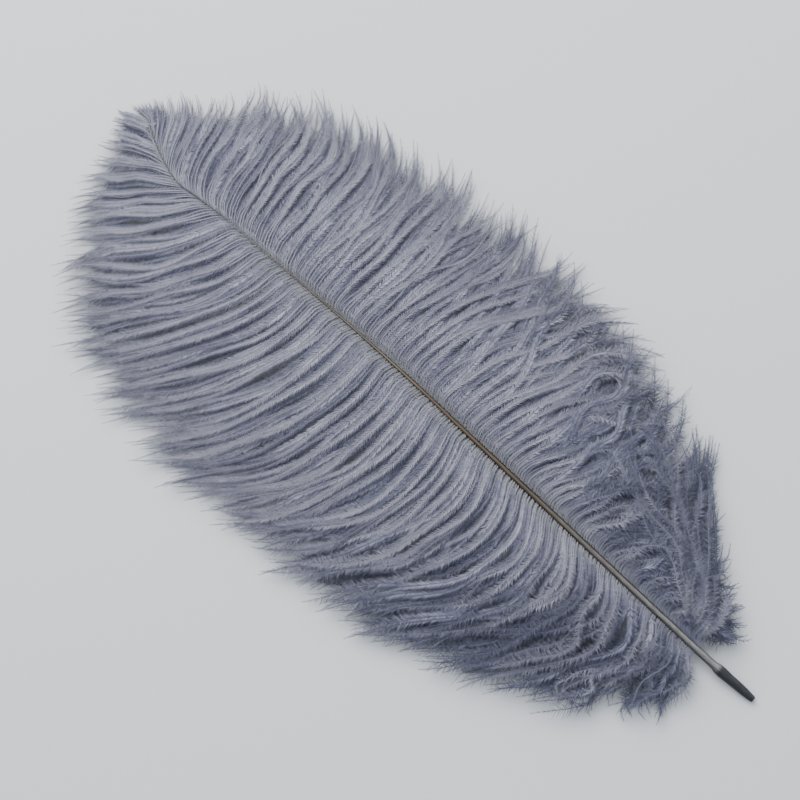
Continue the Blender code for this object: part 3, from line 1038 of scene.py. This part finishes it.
class PLUME_OT_shaft(Operator):
    """Models the quill and the shaft"""
    bl_idname = "plume.shaft"
    bl_label = "Quill and shaft"

    def execute(self, context):
        shaft = add_ringed_cylinder(SHAFT_SIDES, SHAFT_RINGS)
        shaft.name = "shaft"
        mesh = shaft.data
        places = np.array([vert.co[:] for vert in mesh.vertices])
        ring = np.round((places[:, 2] + 0.5) * (SHAFT_RINGS - 1))
        station = np.interp(ring, *np.array(SHAFT_SPACING).T) * MM
        turn = np.arctan2(places[:, 1], places[:, 0])
        places = shaft_surface(station, turn)
        mesh.vertices.foreach_set("co", places.astype(np.float32).ravel())
        add_attribute(mesh, "station", station / SHAFT_END)
        add_attribute(mesh, "side", np.cos(turn))
        for face in mesh.polygons:
            at_tip = face.center.x < QUILL_TIP_X + MM
            face.select = bool(at_tip and len(face.vertices) == SHAFT_SIDES)
        bpy.ops.object.mode_set(mode="EDIT")
        bpy.ops.mesh.select_mode(type="FACE")
        for wall, step in HOLLOW_STEPS:
            bpy.ops.mesh.inset(thickness=wall)
            bpy.ops.transform.translate(value=(step, 0, 0))
        bpy.ops.mesh.select_all(action="SELECT")
        bpy.ops.mesh.normals_make_consistent(inside=False)
        bpy.ops.object.mode_set(mode="OBJECT")
        bpy.ops.object.shade_smooth_by_angle(angle=SMOOTH_UNDER)
        mesh.materials.append(shaft_material())
        finish_piece(shaft)
        return {"FINISHED"}


class PLUME_OT_vanes(Operator):
    """Grows the barbs of both vanes in sheaves, with their barbules"""
    bl_idname = "plume.vanes"
    bl_label = "Vanes"

    def execute(self, context):
        plume = context.scene.plume
        material = barb_material(plume)
        for number, sheaf in enumerate(SHEAVES):
            chance = np.random.default_rng(plume.seed + number)
            barbs = barb_paths(sheaf, plume, chance)
            tone = barb_tones(sheaf, barbs, chance)
            stems = grow_stems(sheaf, barbs, tone, plume)
            barbules = grow_barbules(sheaf, barbs, tone, plume, chance)
            count = len(barbs.paths)
            amount = np.cumsum(np.bincount(barbules[0].owner, minlength=count))
            cuts = np.searchsorted(amount, np.linspace(0, amount[-1], len(sheaf.pieces) + 1))
            cuts[-1] = count
            for name, first, last in zip(sheaf.pieces, cuts, cuts[1:]):
                parts = part_of_sheaf([stems, *barbules], first, last)
                finish_piece(mesh_piece(name, *parts, material))
        return {"FINISHED"}


TABLE_SIZE = 40
SKY_COLOUR, SKY_STRENGTH = (0.86, 0.91, 1.0, 1), 0.90
LIGHT_PLACE, LIGHT_SIZE, LIGHT_POWER = (0.83, -0.39, 1.1), 1.2, 30
CAMERA_AZIMUTH, CAMERA_ELEVATION = math.radians(222.62), math.radians(82.0)
CAMERA_DISTANCE, CAMERA_LENS = 0.979, 85.0
CAMERA_TARGET = (0.0125, -0.0023, 0.010)


class PLUME_OT_stage(Operator):
    """Sets the table, the lights and the camera"""
    bl_idname = "plume.stage"
    bl_label = "Stage"

    def execute(self, context):
        deselect_everything()
        bpy.ops.mesh.primitive_plane_add(size=TABLE_SIZE)
        floor = context.object
        floor.name = "table"
        floor.data.materials.append(floor_material(context.scene.plume))
        world = context.scene.world or bpy.data.worlds.new("soft room")
        context.scene.world = world
        world.use_nodes = True
        sky = world.node_tree.nodes["Background"]
        sky.inputs["Color"].default_value = SKY_COLOUR
        sky.inputs["Strength"].default_value = SKY_STRENGTH
        bpy.ops.object.light_add(type="AREA", location=LIGHT_PLACE)
        light = context.object
        light.data.size = LIGHT_SIZE
        light.data.energy = LIGHT_POWER
        light.rotation_euler = (-light.location).to_track_quat("-Z", "Y").to_euler()
        flat, steep = math.cos(CAMERA_ELEVATION), math.sin(CAMERA_ELEVATION)
        back = (math.sin(CAMERA_AZIMUTH) * flat, -math.cos(CAMERA_AZIMUTH) * flat, steep)
        place = np.array(CAMERA_TARGET) + CAMERA_DISTANCE * np.array(back)
        bpy.ops.object.camera_add(location=tuple(place))
        camera = context.object
        camera.rotation_euler = (math.pi / 2 - CAMERA_ELEVATION, 0, CAMERA_AZIMUTH)
        camera.data.lens = CAMERA_LENS
        context.scene.camera = camera
        return {"FINISHED"}


class PLUME_PT_panel(Panel):
    """Lists the steps"""
    bl_idname = "PLUME_PT_panel"
    bl_label = "Ostrich plume"
    bl_space_type = "VIEW_3D"
    bl_region_type = "UI"
    bl_category = "Plume"

    def draw(self, context):
        for step in STEPS:
            self.layout.operator(step.bl_idname)


STEPS = (PLUME_OT_shaft, PLUME_OT_vanes, PLUME_OT_stage)
CLASSES = (PlumeSettings, *STEPS, PLUME_PT_panel)


def register():
    for cls in CLASSES:
        bpy.utils.register_class(cls)
    bpy.types.Scene.plume = PointerProperty(type=PlumeSettings)


def unregister():
    del bpy.types.Scene.plume
    for cls in reversed(CLASSES):
        bpy.utils.unregister_class(cls)


def main():
    register()
    bpy.ops.plume.shaft()
    bpy.ops.plume.vanes()
    bpy.ops.plume.stage()


if __name__ == "__main__":
    main()
